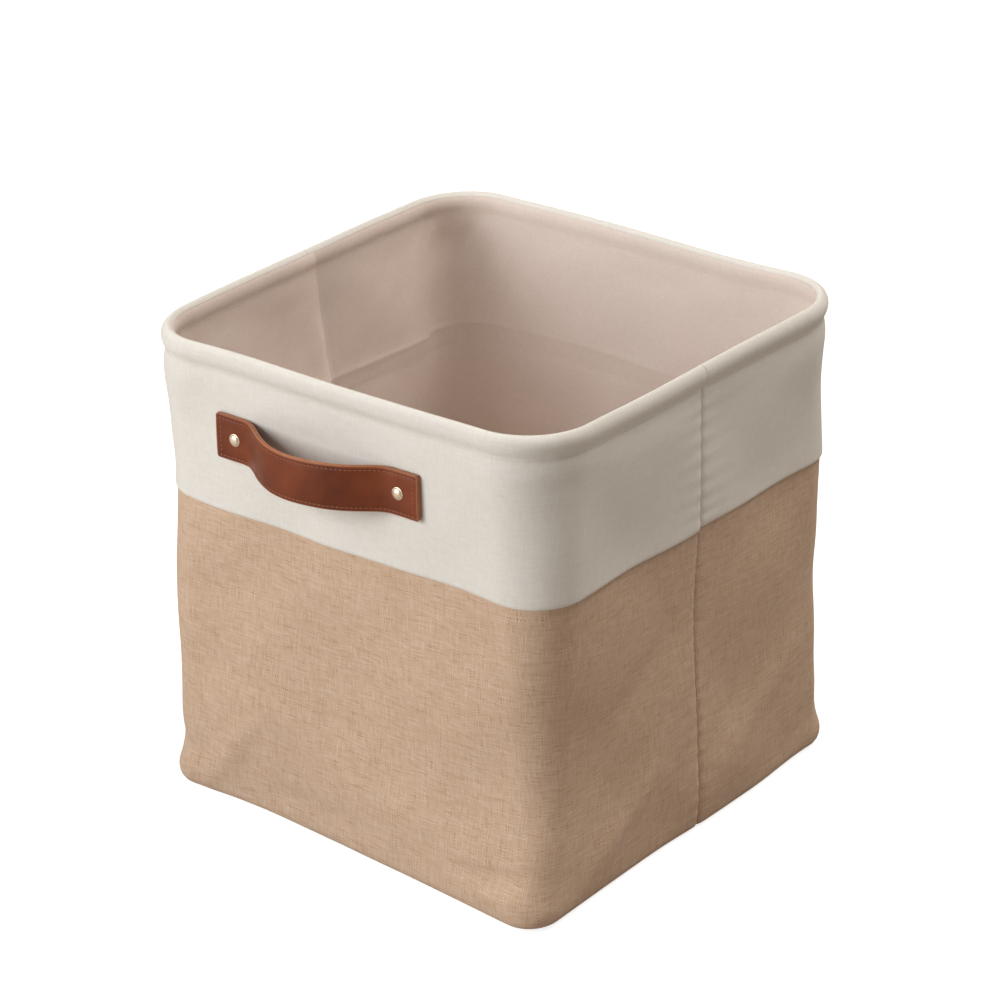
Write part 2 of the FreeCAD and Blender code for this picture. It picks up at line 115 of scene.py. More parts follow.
def noise(tree, place, scale, detail=2.0, roughness=0.5):
    """The factor of a noise texture."""
    inputs = {"Vector": place, "Scale": scale, "Detail": detail, "Roughness": roughness}
    return add_node(tree, "ShaderNodeTexNoise", inputs).outputs[0]


def new_object(name, data):
    """An object at the origin, in the scene."""
    made = bpy.data.objects.new(name, data)
    scene.collection.objects.link(made)
    return made


def lamp(name, place, size, power, colour):
    """A square soft lamp aimed at the middle of the bin."""
    data = bpy.data.lights.new(name, "AREA")
    data.size = size
    data.energy = power
    data.color = colour
    made = new_object(name, data)
    made.location = place
    aim = LAMP_AIM - made.location
    made.rotation_euler = aim.to_track_quat("-Z", "Y").to_euler()


LAMP_AIM = Vector((0, 0, 0.15))
lamp("key_lamp", (-0.88, -2.1, 1.1), 1.5, 49, (0.97, 0.985, 0.99))
lamp("top_lamp", (0.8, 0.85, 2.8), 1.8, 64, (1.0, 0.95, 0.89))

world = bpy.data.worlds.new("studio")
scene.world = world
world.use_nodes = True
background = world.node_tree.nodes["Background"]
background.inputs["Color"].default_value = (1.0, 0.90, 0.81, 1.0)
background.inputs["Strength"].default_value = 0.22

PAPER_REACH = 9.0
PAPER_DROP = 0.0004
PAPER_GLOW = 0.84
paper, paper_tree = new_material("studio_paper")
fibre = noise(paper_tree, object_place(paper_tree), 40.0)
tint = add_node(
    paper_tree,
    "ShaderNodeMix",
    {0: fibre, 6: srgb(176, 168, 159), 7: srgb(182, 175, 167)},
    data_type="RGBA",
)
seen_directly = add_node(paper_tree, "ShaderNodeLightPath").outputs["Is Camera Ray"]
finish_surface(
    paper_tree,
    {
        "Base Color": tint.outputs[2],
        "Roughness": 0.95,
        "Specular IOR Level": 0.1,
        "Emission Color": (1.0, 1.0, 1.0, 1.0),
        "Emission Strength": maths(paper_tree, "MULTIPLY", seen_directly, PAPER_GLOW),
    },
)
floor_mesh = bpy.data.meshes.new("paper_floor")
corners = ((-1, -1), (1, -1), (1, 1), (-1, 1))
sheet_points = [(PAPER_REACH * x, PAPER_REACH * y, 0) for x, y in corners]
floor_mesh.from_pydata(sheet_points, [], [(0, 1, 2, 3)])
floor_mesh.materials.append(paper)
floor = new_object("paper_floor", floor_mesh)
floor.location.z = -PAPER_DROP

CAMERA_AIM = Vector((0, 0, 0.165))
CAMERA_DISTANCE = 2.714
turn, lift, roll = (math.radians(angle) for angle in (38.794, 25.315, -0.778))
away = Vector(
    (math.sin(turn) * math.cos(lift), -math.cos(turn) * math.cos(lift), math.sin(lift))
)
across = Vector((math.cos(turn), math.sin(turn), 0))
upward = away.cross(across)
right_hand = across * math.cos(roll) + upward * math.sin(roll)
head_up = upward * math.cos(roll) - across * math.sin(roll)
place = CAMERA_AIM + away * CAMERA_DISTANCE
camera_data = bpy.data.cameras.new("camera")
camera_data.lens = 147.7
camera_data.sensor_width = 36
camera_data.shift_x = 0.001
camera_data.shift_y = 0.0367
camera_data.clip_end = 40
camera = new_object("camera", camera_data)
rows = [(right_hand[i], head_up[i], away[i], place[i]) for i in range(3)]
camera.matrix_world = Matrix([*rows, (0, 0, 0, 1)])
scene.camera = camera

# -------------------- jute wraps
# The lower outside of the wall: two pieces of jute cloth, front and back, each bent round two
# corners and sewn to the other down the middle of the sides. Their top edge is tucked under
# the cream band, and their foot is drawn in by the seam that joins them to the bottom.

# Lengths are in millimetres. A form is the wall's half width, half depth and corner radius.
# From seam to seam, half the wall is half a side, a bend, a face, a bend and half a side.
MM = 0.001
BIN_HEIGHT = 330.0
BASE_FORM = (161.0, 158.0, 22.0)
RIM_FORM = (166.0, 163.0, 47.0)
HALF_SIDE_RUN, BEND_RUN, FACE_RUN = 120, 58, 246
SEAM_GAP = 0.15
STRAP_HEIGHT = 272.5
STRAP_OFFSET = 13.0
OUTER_STEP = 2.5
JUTE_THICK = 1.35


def run_along(path):
    """How far along a path each of its points lies."""
    return np.concatenate([[0], np.cumsum(np.linalg.norm(np.diff(path, axis=0), axis=1))])


def smooth_path(points, count):
    """A smooth line through the points, given back as count points evenly spaced on it."""
    line = np.array(points, float)
    line = np.vstack([2 * line[0] - line[1], line, 2 * line[-1] - line[-2]])
    share = np.linspace(0, 1, 24, endpoint=False)[:, None]
    runs = []
    for a, b, c, d in zip(line, line[1:], line[2:], line[3:]):
        square = 2 * a - 5 * b + 4 * c - d
        cube = 3 * b - a - 3 * c + d
        runs.append(0.5 * (2 * b + (c - a) * share + square * share**2 + cube * share**3))
    fine = np.vstack([*runs, line[-2:-1]])
    run = run_along(fine)
    stops = np.linspace(0, run[-1], count)
    return np.column_stack([np.interp(stops, run, fine[:, i]) for i in range(fine.shape[1])])


def left_of(path):
    """The directions that point to the left of a path."""
    along = np.gradient(path, axis=0)
    along /= np.linalg.norm(along, axis=1)[:, None]
    return np.column_stack([-along[:, 1], along[:, 0]])


def under_side(path, thickness):
    """The hidden face of a cloth whose seen face runs along the path of (inset, height)."""
    return path - thickness * left_of(path)


def wall_columns(step):
    """Stations along half the wall, as (stretch number, share of the stretch), seam to seam.
    They stand closer together beside the seams."""
    side = [0, 0.4, 0.9, 1.6, 2.6, 4, 6, *np.arange(8.5, HALF_SIDE_RUN - 2, step), HALF_SIDE_RUN]
    side = np.array(side) / HALF_SIDE_RUN
    bend = np.linspace(0, 1, round(BEND_RUN / step) + 1)[1:]
    face = np.linspace(0, 1, round(FACE_RUN / step) + 1)[1:]
    stretches = [side, bend, face, bend, (1 - side[::-1])[1:]]
    number = np.concatenate([np.full(len(s), i) for i, s in enumerate(stretches)])
    return number, np.concatenate(stretches)


def half_outline(columns, half_width, half_depth, corner, gap=0.0):
    """Points along the front half of a rounded rectangle, and the angle of its bends."""
    number, share = columns
    run, flat = half_depth - corner, half_width - corner
    angle = np.where(number == 1, np.pi, 1.5 * np.pi) + share * np.pi / 2
    bend = corner * np.cos(angle)
    x = np.select(
        [number == 0, number == 1, number == 2, number == 3],
        [-half_width + 0 * share, -flat + bend, -flat + 2 * flat * share, flat + bend],
        half_width + 0 * share,
    )
    y = np.select(
        [number == 0, number == 2, number == 4],
        [-gap - (run - gap) * share, -half_depth + 0 * share, -run + (run - gap) * share],
        -run + corner * np.sin(angle),
    )
    return x, y, angle


def wall_outline(columns, heights, side, gap=SEAM_GAP):
    """Points on the wall's outside and their outward directions, one row for each height."""
    number, share = (np.asarray(c)[None, :] for c in columns)
    level = np.clip(np.asarray(heights, float)[:, None] / BIN_HEIGHT, 0, 1.01)
    form = (low + (high - low) * level for low, high in zip(BASE_FORM, RIM_FORM))
    x, y, angle = half_outline((number, share), *form, gap)
    straight = [number == 0, number == 2, number == 4]
    nx = np.select(straight, [-1 + 0 * y, 0 * y, 1 + 0 * y], np.cos(angle) + 0 * y)
    ny = np.select(straight, [0 * y, -1 + 0 * y, 0 * y], np.sin(angle) + 0 * y)
    turned = 1.0 if side == "front" else -1.0
    z = np.asarray(heights, float)[:, None] + 0 * y
    return np.stack([turned * x, turned * y, z], -1), np.stack([turned * nx, turned * ny], -1)


def ease(value, low, high):
    """0 below low, 1 above high and smooth between them."""
    share = np.clip((value - low) / (high - low), 0, 1)
    return share * share * (3 - 2 * share)


def swell(value, middle, reach, power=2):
    """1 at the middle, fading to nothing over about two reaches to either side."""
    return np.exp(-(((value - middle) / reach) ** power))


def near_corners(x, y, across_x, across_y, spread):
    """1 at the wall's four upright corners, fading round them; the spread is an area."""
    return np.exp(-(((np.abs(x) - across_x) ** 2 + (np.abs(y) - across_y) ** 2) / spread))


# long soft waves of the wall: three wavelengths, a phase and a size
WAVES = [
    (168, 190, 230, 0.7, 0.75),
    (-118, 140, 165, 1.9, 0.60),
    (236, -150, 120, 4.2, 0.65),
    (88, 97, -150, 2.7, 0.32),
    (-61, 70, 84, 5.1, 0.16),
]
# pinched places: two ends on the wall, how wide and how far out the fold stands
FOLDS = [
    ((-122, -159, 14), (-78, -159, 72), 9, 2.6),
    ((-120, -159, 104), (-62, -159, 92), 12, -2.3),
    ((-74, -159, 96), (8, -159, 52), 12, 2.4),
    ((8, -159, 52), (112, -159, 40), 12, 2.6),
    ((-64, -159, 20), (22, -159, 22), 9, -2.2),
    ((96, -159, 26), (144, -159, 33), 4.5, -3.1),
    ((112, -159, 16), (152, -159, 20), 6, 2.2),
    ((-152, -150, 34), (-128, -159, 27), 6, -2.4),
    ((-140, -159, 150), (-66, -159, 172), 13, -1.5),
    ((30, -159, 160), (118, -159, 128), 14, 1.6),
    ((20, -159, 120), (110, -159, 92), 12, -1.8),
    ((140, -150, 60), (153, -130, 130), 10, -1.8),
    ((162, -110, 20), (162, -52, 62), 10, 2.6),
    ((162, -96, 110), (162, -30, 150), 13, -1.9),
    ((162, 30, 40), (162, 110, 90), 12, 2.3),
    ((162, 60, 190), (162, 125, 215), 12, -1.1),
    ((-162, -100, 40), (-162, -40, 90), 12, 2.2),
    ((-162, 30, 60), (-162, 110, 30), 11, -2.2),
    ((-90, 159, 30), (10, 159, 70), 11, 2.4),
    ((40, 159, 110), (120, 159, 80), 13, -1.9),
]


def drape(points, share=1.0):
    """How far the sewn and stuffed wall stands off its plain form, outwards, at each point.
    The inner layers show only a share of the outer cloth's folds."""
    x, y, z = np.moveaxis(points, -1, 0)
    soft = np.zeros_like(x)
    for along_x, along_y, along_z, phase, size in WAVES:
        soft += size * np.sin(2 * np.pi * (x / along_x + y / along_y + z / along_z) + phase)
    # the wire holds the top still, and the seam holds the foot
    soft *= 1 - 0.75 * ease(z, 292, 312)
    soft *= 0.35 + 0.65 * ease(z, 2, 30)
    for start, end, width, size in FOLDS:
        a, b = np.array(start, float), np.array(end, float)
        along = np.clip((points - a) @ (b - a) / ((b - a) @ (b - a)), 0, 1)
        gap = np.linalg.norm(points - (a + along[..., None] * (b - a)), axis=-1)
        soft += share * size * np.sin(np.pi * (0.15 + 0.7 * along)) * swell(gap, 0, width)
    # the riveted straps hold the wall flat behind them
    shift = np.where(y < 0, -STRAP_OFFSET, STRAP_OFFSET)
    strap = swell(x, shift, 92, 6) * swell(z, STRAP_HEIGHT, 24, 4)
    soft *= 1 - np.where(np.abs(y) > 150, strap, 0)
    # each corner is pinched over its foot, and the foot rolls under
    pinch = -1.5 * swell(z, 32, 13) + 2.7 * swell(z, 10, 9)
    pinch *= near_corners(x, y, 153, 150, 900)
    foot = -1.5 * (1 - ease(z, 0, 6)) - 0.8 * (1 - ease(z, 0, 40))
    # the corners flare under the rim and are hollow lower down, and the wall has a waist
    broad = near_corners(x, y, 155, 152, 2600)
    flare = 2.2 * broad * swell(z, 300, 24)
    waist = -1.4 * swell(z, 190, 60)
    left = -2.6 * swell(z, 252, 40, 4) - 1.3 * swell(z, 150, 75, 4)
    right = -4.2 * swell(z, 96, 52, 4)
    hollow = (0.5 + 0.5 * share) * broad * np.where(x < 0, left, right)
    return soft + pinch + foot + flare + waist + hollow


def lean(points):
    """The jute hangs loose low down: the front right corner is pulled out along the side's
    line, and the right side bellies."""
    x, y, z = np.moveaxis(points, -1, 0)
    low = 1 - ease(z, 0, 95)
    near = ease(x, -110, 190) * ease(-y, 20, 160)
    belly = ease(x, 20, 160) * (1 - ease(z, 20, 125)) * (1 - ease(y, 60, 150))
    moved = points.copy()
    moved[..., 1] -= 20 * low * near
    moved[..., 0] += 1.5 * low * near + 4.6 * belly
    return moved


def seam_roll(points):
    """The outer cloths turn in where they meet at the side seams, and pucker beside them."""
    from_seam = np.abs(points[..., 1])
    z = points[..., 2]
    pucker = 0.3 * np.sin(2 * np.pi * z / 11 + 1.5 * np.sin(z / 17)) * np.exp(-from_seam / 12)
    return (pucker - 2.0 * np.exp(-from_seam / 1.4)) * (np.abs(points[..., 0]) > 140)


def sleeve_faces(rows, count):
    """Four-sided faces of a closed ring of rows, with count points in each row."""
    ring = np.arange(rows)[:, None]
    start = ring * count + np.arange(count - 1)
    after = (ring + 1) % rows * count + np.arange(count - 1)
    return np.stack([start, after, after + 1, start + 1], -1).reshape(-1, 4).tolist()


def mesh_object(name, points, faces, flat=None, sharp=40):
    """A closed mesh of points in millimetres, faces outward, smooth but for its sharp edges."""
    mesh = bpy.data.meshes.new(name)
    mesh.from_pydata((np.asarray(points) * MM).tolist(), [], faces)
    if flat is not None:
        layer = mesh.uv_layers.new(name="flat_cloth")
        corner = np.zeros(len(mesh.loops), np.int32)
        mesh.loops.foreach_get("vertex_index", corner)
        layer.data.foreach_set("uv", (np.asarray(flat)[corner] * MM).astype(np.float32).ravel())
    work = bmesh.new()
    work.from_mesh(mesh)
    bmesh.ops.recalc_face_normals(work, faces=work.faces)
    work.to_mesh(mesh)
    work.free()
    mesh.shade_smooth()
    mesh.set_sharp_from_angle(angle=math.radians(sharp))
    return new_object(name, mesh)


def wall_piece(name, side, seen, hidden, step, shape, gap=SEAM_GAP, leaning=False):
    """A cloth swept round half the wall; seen and hidden are its two faces, (inset, height)."""
    columns = wall_columns(step)
    loop = np.vstack([seen, hidden[::-1]])
    rows, count = len(loop), len(columns[0])
    plain, outward = wall_outline(columns, loop[:, 1], side, gap)
    move, rise = shape(plain, loop[:, :1])
    points = plain.copy()
    points[..., :2] += outward * (move - loop[:, :1])[..., None]
    points[..., 2] += rise
    if leaning:
        points = lean(points)
    faces = sleeve_faces(rows, count)
    for k in range(rows // 2 - 1):
        pair = [k, k + 1, rows - 2 - k, rows - 1 - k]
        faces.append([row * count for row in pair])
        faces.append([row * count + count - 1 for row in reversed(pair)])
    run = run_along(plain[rows // 4, :, :2])
    climb = run_along(seen)
    climb = np.hstack([climb, climb[::-1]])
    flat = np.stack(np.broadcast_arrays(run[None, :], climb[:, None]), -1)
    return mesh_object(name, points.reshape(-1, 3), faces, flat.reshape(-1, 2))


def new_group(name, inputs, outputs):
    """An empty node group with named sockets: name to (kind, default) and name to kind."""
    tree = bpy.data.node_groups.new(name, "ShaderNodeTree")
    for label, (kind, value) in inputs.items():
        socket = tree.interface.new_socket(
            name=label, in_out="INPUT", socket_type=f"NodeSocket{kind}"
        )
        if value is not None:
            socket.default_value = value
    for label, kind in outputs.items():
        tree.interface.new_socket(name=label, in_out="OUTPUT", socket_type=f"NodeSocket{kind}")
    return tree, tree.nodes.new("NodeGroupInput"), tree.nodes.new("NodeGroupOutput")


def scaled(tree, vector, factor):
    """A place or a colour times a factor."""
    inputs = {0: vector, "Scale": factor}
    return add_node(tree, "ShaderNodeVectorMath", inputs, operation="SCALE").outputs[0]


def build_weave():
    """Threads over and under each other, each with a tone that changes slowly along it."""
    tree, given, made = new_group(
        "plain weave",
        {
            "Place": ("Vector", None),
            "Thread pitch": ("Float", 0.001),
            "Slub threads": ("Float", 6.0),
            "Seed": ("Float", 0.0),
        },
        {"Height": "Float", "Tone": "Float", "Gap": "Float"},
    )
    per_thread = maths(tree, "DIVIDE", 1.0, given.outputs["Thread pitch"])
    threads = scaled(tree, given.outputs["Place"], per_thread)
    bowed = add_node(tree, "ShaderNodeTexNoise", {"Vector": threads, "Scale": 0.04})
    bow = add_node(
        tree,
        "ShaderNodeVectorMath",
        {0: bowed.outputs["Color"], 1: (3.0, 3.0, 0.0), 2: threads},
        operation="MULTIPLY_ADD",
    )
    place = add_node(tree, "ShaderNodeSeparateXYZ", {0: bow.outputs[0]})
    lines, crests, tones = [], [], []
    for axis, other in ((0, 1), (1, 0)):
        thread = maths(tree, "FLOOR", place.outputs[axis])
        within = maths(tree, "SUBTRACT", place.outputs[axis], thread)
        across_it = maths(tree, "SUBTRACT", within, 0.5)
        crests.append(maths(tree, "COSINE", maths(tree, "MULTIPLY", across_it, math.pi)))
        along_it = maths(tree, "DIVIDE", place.outputs[other], given.outputs["Slub threads"])
        spot = add_node(
            tree,
            "ShaderNodeCombineXYZ",
            {
                0: maths(tree, "MULTIPLY", thread, 7.31),
                1: along_it,
                2: maths(tree, "ADD", given.outputs["Seed"], 31.7 * axis),
            },
        )
        tones.append(noise(tree, spot.outputs[0], 1.0, 1.5, 0.6))
        lines.append(thread)
    turn_over = maths(tree, "FLOORED_MODULO", maths(tree, "ADD", *lines), 2.0)
    tone = add_node(tree, "ShaderNodeMix", {0: turn_over, 2: tones[0], 3: tones[1]})
    rises = []
    for own, crossing in ((0, 1), (1, 0)):
        arch = maths(tree, "MULTIPLY_ADD", crests[crossing], 0.45, 0.55)
        rises.append(maths(tree, "MULTIPLY", crests[own], arch))
    height = add_node(tree, "ShaderNodeMix", {0: turn_over, 2: rises[0], 3: rises[1]})
    edge = add_node(
        tree, "ShaderNodeMapRange", {0: height.outputs[0], 1: 0.12, 2: 0.5, 3: 1.0, 4: 0.0}
    )
    lifted = maths(tree, "MULTIPLY_ADD", tone.outputs[0], 0.6, height.outputs[0])
    tree.links.new(lifted, made.inputs["Height"])
    tree.links.new(tone.outputs[0], made.inputs["Tone"])
    tree.links.new(edge.outputs[0], made.inputs["Gap"])
    return tree


def build_mottle():
    """Broad uneven dyeing and handling marks, as a factor near one."""
    tree, given, made = new_group(
        "cloth mottle",
        {"Place": ("Vector", None), "Size": ("Float", 0.05), "Amount": ("Float", 0.1)},
        {"Factor": "Float"},
    )
    scale = maths(tree, "DIVIDE", 1.0, given.outputs["Size"])
    swing = maths(tree, "SUBTRACT", noise(tree, given.outputs["Place"], scale, 3.0), 0.5)
    factor = maths(tree, "MULTIPLY_ADD", swing, given.outputs["Amount"], 1.0)
    tree.links.new(factor, made.inputs["Factor"])
    return tree


weave_group = build_weave()
mottle_group = build_mottle()


def use_group(tree, group, inputs):
    """A placed copy of a node group."""
    return add_node(tree, "ShaderNodeGroup", inputs, node_tree=group)


def ramp(tree, factor, stops):
    """The colour of a factor between named stops."""
    made = add_node(tree, "ShaderNodeValToRGB", {0: factor})
    points = made.color_ramp.elements
    for i, (at, colour) in enumerate(stops):
        point = points[i] if i < 2 else points.new(at)
        point.position = at
        point.color = colour
    return made.outputs[0]


def relief(tree, height, strength, depth):
    """The normal of a surface that a height raises by up to a depth in metres."""
    inputs = {"Height": height, "Strength": strength, "Distance": depth}
    return add_node(tree, "ShaderNodeBump", inputs).outputs[0]


def woven_material(
    name, pitch, slub, stops, gap_shade, mottle, bump, sheen, rough=0.9, seed=0.0, painted_light_factor=None
):
    """Woven cloth laid flat in the piece's own UV map, which is in metres of cloth. The pitch
    is that of its threads, the slub is how many threads a change of tone is long, and the last
    argument, if given, builds a factor of painted light and shade for the colour."""
    material, tree = new_material(name)
    place = add_node(tree, "ShaderNodeUVMap", uv_map="flat_cloth")
    solid = object_place(tree)
    weave = use_group(
        tree,
        weave_group,
        {"Place": place.outputs[0], "Thread pitch": pitch, "Slub threads": slub, "Seed": seed},
    )
    colour = ramp(tree, weave.outputs["Tone"], stops)
    cloud = use_group(tree, mottle_group, {"Place": solid, "Size": 0.07, "Amount": mottle})
    shade = maths(tree, "MULTIPLY_ADD", weave.outputs["Gap"], -gap_shade, 1.0)
    shade = maths(tree, "MULTIPLY", shade, cloud.outputs[0])
    # painted light and shade, where a factor for it is given
    if painted_light_factor:
        shade = maths(tree, "MULTIPLY", shade, painted_light_factor(tree, solid))
    finish_surface(
        tree,
        {
            "Base Color": scaled(tree, colour, shade),
            "Roughness": rough,
            "Specular IOR Level": 0.25,
            "Sheen Weight": sheen,
            "Sheen Roughness": 0.6,
            "Sheen Tint": (1.0, 0.94, 0.88, 1.0),
            "Normal": relief(tree, weave.outputs["Height"], bump, 0.25 * MM),
        },
    )
    return material


jute_cloth = woven_material(
    "jute_cloth",
    pitch=0.95 * MM,
    slub=13.0,
    stops=[(0.24, srgb(178, 141, 112)), (0.42, srgb(199, 169, 143)), (0.56, srgb(206, 178, 154)),
           (0.78, srgb(220, 198, 178))],
    gap_shade=0.16,
    mottle=0.17,
    bump=0.42,
    sheen=0.12,
)


def jute_shape(points, inset):
    """The jute follows the wall and rolls into the seams."""
    return drape(points) + seam_roll(points), 0.0


# from the seam under the foot, up the wall, to just behind the cream band's lower edge
jute_seen = smooth_path(
    [(9.0, 0.35), (5.2, 0.3), (2.6, 0.9), (1.1, 3.0), (0.5, 8.0), (0.5, 60), (0.5, 140),
     (0.5, 205), (0.55, 215), (0.65, 221)],
    92,
)
jute_hidden = under_side(jute_seen, JUTE_THICK)
for side in ("front", "back"):
    jute = wall_piece(
        f"jute_wrap_{side}", side, jute_seen, jute_hidden, OUTER_STEP, jute_shape, leaning=True
    )
    jute.data.materials.append(jute_cloth)
    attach(jute, "base")
    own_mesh(jute)
    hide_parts(f"lower_jute_{side}")

# -------------------- cream bands
# The upper outside and the rim: cream cotton canvas, front and back. Each is folded at its
# lower edge over the jute, and goes up round the wire to meet the lining on top of the rim.
BAND_EDGE = 217
CREAM_THICK = 1.25
cream_cloth = woven_material(
    "cream_canvas",
    pitch=0.62 * MM,
    slub=16.0,
    stops=[(0.25, srgb(218, 213, 205)), (0.5, srgb(226, 222, 215)), (0.75, srgb(233, 230, 224))],
    gap_shade=0.14,
    mottle=0.04,
    bump=0.32,
    sheen=0.10,
    seed=4.0,
)


def rim_sway(points):
    """The wire isn't quite level, and it dips at the front left corner."""
    x, y, z = np.moveaxis(points, -1, 0)
    sway = 0.5 * np.sin(x / 44 + y / 61 + 0.6) + 0.3 * np.sin(y / 23 - x / 29)
    dip = -2.3 * swell(x, -160, 60) * swell(y, -115, 70)
    return ease(z, 296, 316) * (sway + dip)


def cream_shape(points, inset):
    """The band follows the wall; its lower fold is a little uneven and higher at the back."""
    x, y, z = np.moveaxis(points, -1, 0)
    low = 1 - ease(z, BAND_EDGE, 240)
    uneven = 0.45 * np.sin(x / 31 + 1.1) * np.cos(y / 37) + 0.25 * np.sin((x + y) / 13)
    step = 1.2 * swell(y, 0, 45) * (y > 0)
    lower = -1.2 * ease(x, 90, 160) * (y < 0)
    roll = seam_roll(points) * (1 - 0.8 * ease(z, 308, 318))
    return drape(points) + roll, low * (uneven + step + lower) + rim_sway(points)


# from the fold at its lower edge, up the wall and round the rim's roll
cream_seen = smooth_path(
    [(-0.15, 216.75), (-0.8, 217.1), (-1.05, 218.3), (-0.95, 221), (-0.55, 227), (-0.15, 236),
     (0, 250), (0, 280), (0.1, 297), (0.3, 304), (0.75, 310), (1.15, 313.8), (0.4, 316.6),
     (-1.1, 319.4), (-2.1, 323.2), (-1.5, 327.0), (0.7, 329.6), (2.6, 330.1), (4.4, 329.2),
     (5.5, 327.8), (5.2, 326.6)],
    84,
)
cream_hidden = under_side(cream_seen, CREAM_THICK)
for side in ("front", "back"):
    cream = wall_piece(
        f"cream_band_cloth_{side}", side, cream_seen, cream_hidden, OUTER_STEP, cream_shape
    )
    cream.data.materials.append(cream_cloth)
    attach(cream, "rim")
    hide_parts(f"cream_band_{side}")

# -------------------- wall padding
# Between the cloths of the wall is a sheet of felted wadding, cut at the cream band's edge
# because the wall folds there. It gives the wall its body, and nothing of it is seen.
WADDING_INSET, WADDING_THICK = 2.15, 2.1
# the share of the outer cloth's folds that the inner layers lose
INNER_LOSS = 0.6


def fibrous_material(name, scale, stops, rough, bump, depth):
    """Matted fibres: felt or board, speckled and slightly raised."""
    material, tree = new_material(name)
    flecks = noise(tree, object_place(tree), scale, 6.0)
    finish_surface(
        tree,
        {
            "Base Color": ramp(tree, flecks, stops),
            "Roughness": rough,
            "Normal": relief(tree, flecks, bump, depth),
        },
    )
    return material


felt_stops = [(0.35, srgb(214, 212, 206)), (0.65, srgb(240, 239, 235))]
wadding = fibrous_material("wadding_felt", 420.0, felt_stops, 0.95, 0.6, 0.6 * MM)


def inner_corner(points):
    """The inside is pressed further into its upright corners than the outside is."""
    x, y, z = np.moveaxis(points, -1, 0)
    near = near_corners(x, y, 152, 149, 190)
    return 1.3 * near * ease(z, 10, 50) * (1 - ease(z, 285, 312))


def stuffing_shape(points, inset):
    """The wadding follows the wall, and evens out its folds towards the inside."""
    inner = inset > WADDING_INSET + 1
    return drape(points, 1 - INNER_LOSS * inner) + inner_corner(points) * inner, 0.0


for part, low, high, body in (("lower", 2.0, 216.3, "base"), ("upper", 217.3, 320.0, "rim")):
    for side in ("front", "back"):
        count = 34 if part == "lower" else 18
        outside = smooth_path([(WADDING_INSET, at) for at in (low, (low + high) / 2, high)], count)
        inside = outside + np.array([(WADDING_THICK, 0.0)])
        pad = wall_piece(f"{part}_wadding_{side}", side, outside, inside, 6, stuffing_shape)
        pad.data.materials.append(wadding)
        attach(pad, body)
        if part == "lower":
            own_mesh(pad)
        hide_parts(f"{part}_padding_{side}")

# -------------------- lining
# The inside of the wall: a thin coated cloth in greige, creased across where the bin is
# folded flat for shipping. Its own side seams don't meet the outer ones: each stands as a
# slanting step. The top goes up over the inner half of the rim's roll.
LINING_THICK = 0.55
# the step's distance from the seam at the floor, and how much nearer it comes going up
STEP_PLACE = 41.0
STEP_SLANT = 0.11


def coated_lining(name, painted_light_factor=None):
    """The lining's thin coated cloth."""
    stops = [(0.2, srgb(218, 203, 193)), (0.5, srgb(228, 214, 205)), (0.8, srgb(236, 224, 216))]
    return woven_material(
        name, 0.42 * MM, 10.0, stops, 0.08, 0.10, 0.25, 0.05, rough=0.62, seed=9.0, painted_light_factor=painted_light_factor
    )


def painted_step_light_and_shade(tree, place):
    """Paints light and shade into the lining's colour at its slanting step: lighter over the
    last few centimetres before the step, darker just past it and fading away.
    """
    x, y, z = add_node(tree, "ShaderNodeSeparateXYZ", {0: place}).outputs
    slanted = maths(tree, "MULTIPLY_ADD", z, STEP_SLANT, y)
    past = maths(tree, "SUBTRACT", slanted, STEP_PLACE * MM)

    def fade(begin, end, first, last):
        inputs = {0: past, 1: begin, 2: end, 3: first, 4: last}
        return add_node(tree, "ShaderNodeMapRange", inputs).outputs[0]

    beyond = fade(0.0, 0.001, 1.0, 0.0)
    painted_light_band = maths(tree, "MULTIPLY", fade(-0.034, -0.004, 0.0, 0.11), beyond)
    behind = maths(tree, "SUBTRACT", 1.0, beyond)
    painted_shade_band = maths(tree, "MULTIPLY", fade(0.0, 0.05, 0.08, 0.0), behind)
    return maths(tree, "ADD", 1.0, maths(tree, "SUBTRACT", painted_light_band, painted_shade_band))


lining_cloth = coated_lining("coated_lining")
# the wall lining's colour has painted light before each slanting step and painted shade after it
wall_lining_cloth = coated_lining("coated_lining_wall", painted_step_light_and_shade)
# folded places of the lining: height, which way and how deep
CREASES = [(232, 1.5), (217, -0.9), (164, 1.6), (88, -0.8)]


def lining_shape(points, inset):
    """The lining follows the wall, with creases, a ridge over the seam and puckers on top."""
    x, y, z = np.moveaxis(points, -1, 0)
    extra = np.zeros_like(x)
    for height, depth in CREASES:
        line = height + 2.5 * np.sin(x / 50 + y / 63) + 3.5 * (y > 120)
        extra += depth * np.exp(-np.abs(z - line) / 3.2)
    line = STEP_PLACE - STEP_SLANT * z
    ridge = (np.abs(x) > 140) * ease(y, line - 24, line - 2) * (1 - ease(y, line - 1, line + 2))
    ridge *= 1 - ease(z, 250, 314)
    corner = near_corners(x, y, 150, 147, 1600)
    rucked = np.sin((x - y) / 3.6 + z / 19) + 0.6 * np.sin((x + y) / 5.3 - z / 8)
    pucker = corner * (0.62 * rucked - 0.5) * ease(z, 190, 290) * (1 - ease(z, 304, 316))
    crinkle = 0.16 * np.sin(x / 7 + z / 11) * np.sin(y / 8 - z / 9)
    out = drape(points, 1 - INNER_LOSS) + inner_corner(points) + pucker + crinkle
    return out - 1.8 * ridge - 0.6 * extra, rim_sway(points)
